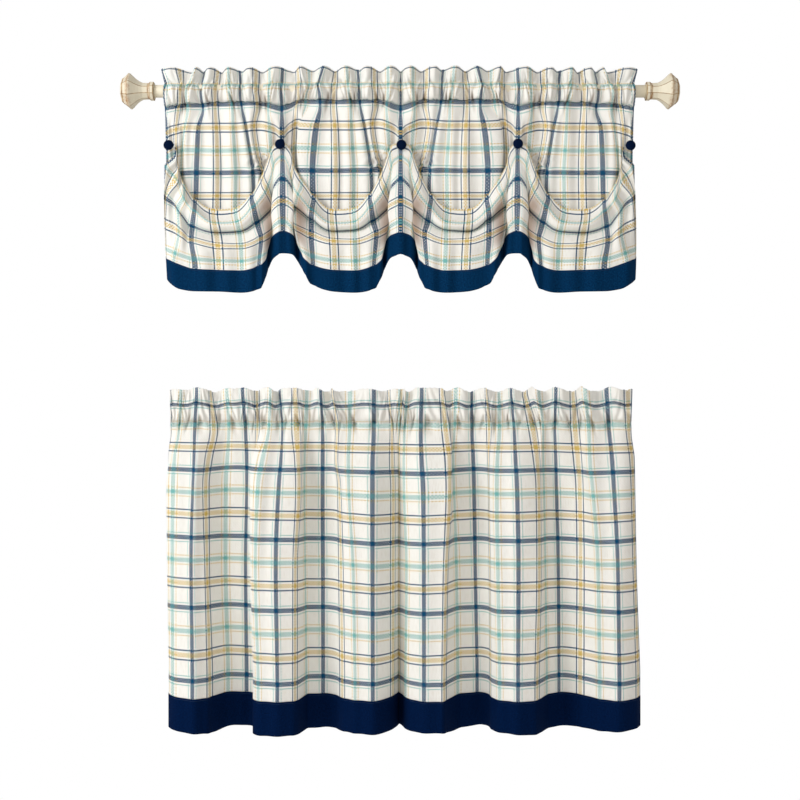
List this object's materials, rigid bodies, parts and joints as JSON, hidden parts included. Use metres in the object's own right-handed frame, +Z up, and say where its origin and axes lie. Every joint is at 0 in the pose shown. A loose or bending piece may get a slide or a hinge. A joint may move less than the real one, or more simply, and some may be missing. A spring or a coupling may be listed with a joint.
{
  "type": "kitchen curtain with curtain rod",
  "caption": "Kitchen curtain set: a plaid valance on a rod with finials, buttoned up into swags with a navy border, over gathered tiers with open rod pockets",
  "frame": {"origin": "middle of the curtain rod, on its axis", "axes": "+Z up, +X along the rod to the right as seen from the room, the front faces -Y"},
  "size_m": [0.977, 0.0828, 1.1621],
  "materials": {
    "plaid_cloth": "plain-woven cream cloth with twill stripes in navy, mustard and teal",
    "navy_cloth": "plain-woven navy border",
    "button_cloth": "navy cloth over a domed shell",
    "cream_paint": "cream paint with brown antiquing rubbed into the grooves"
  },
  "bodies": {
    "root": {"rod": "cream_paint", "finial_left": "cream_paint", "finial_right": "cream_paint", "valance_heading": "plaid_cloth", "valance_drop": "plaid_cloth", "valance_band": "navy_cloth", "tier_left_heading": "plaid_cloth", "tier_left_panel": "plaid_cloth", "tier_left_band": "navy_cloth", "tier_right_heading": "plaid_cloth", "tier_right_panel": "plaid_cloth", "tier_right_band": "navy_cloth", "button_1": "button_cloth", "button_2": "button_cloth", "button_3": "button_cloth", "button_4": "button_cloth", "button_5": "button_cloth"}
  },
  "joints": []
}
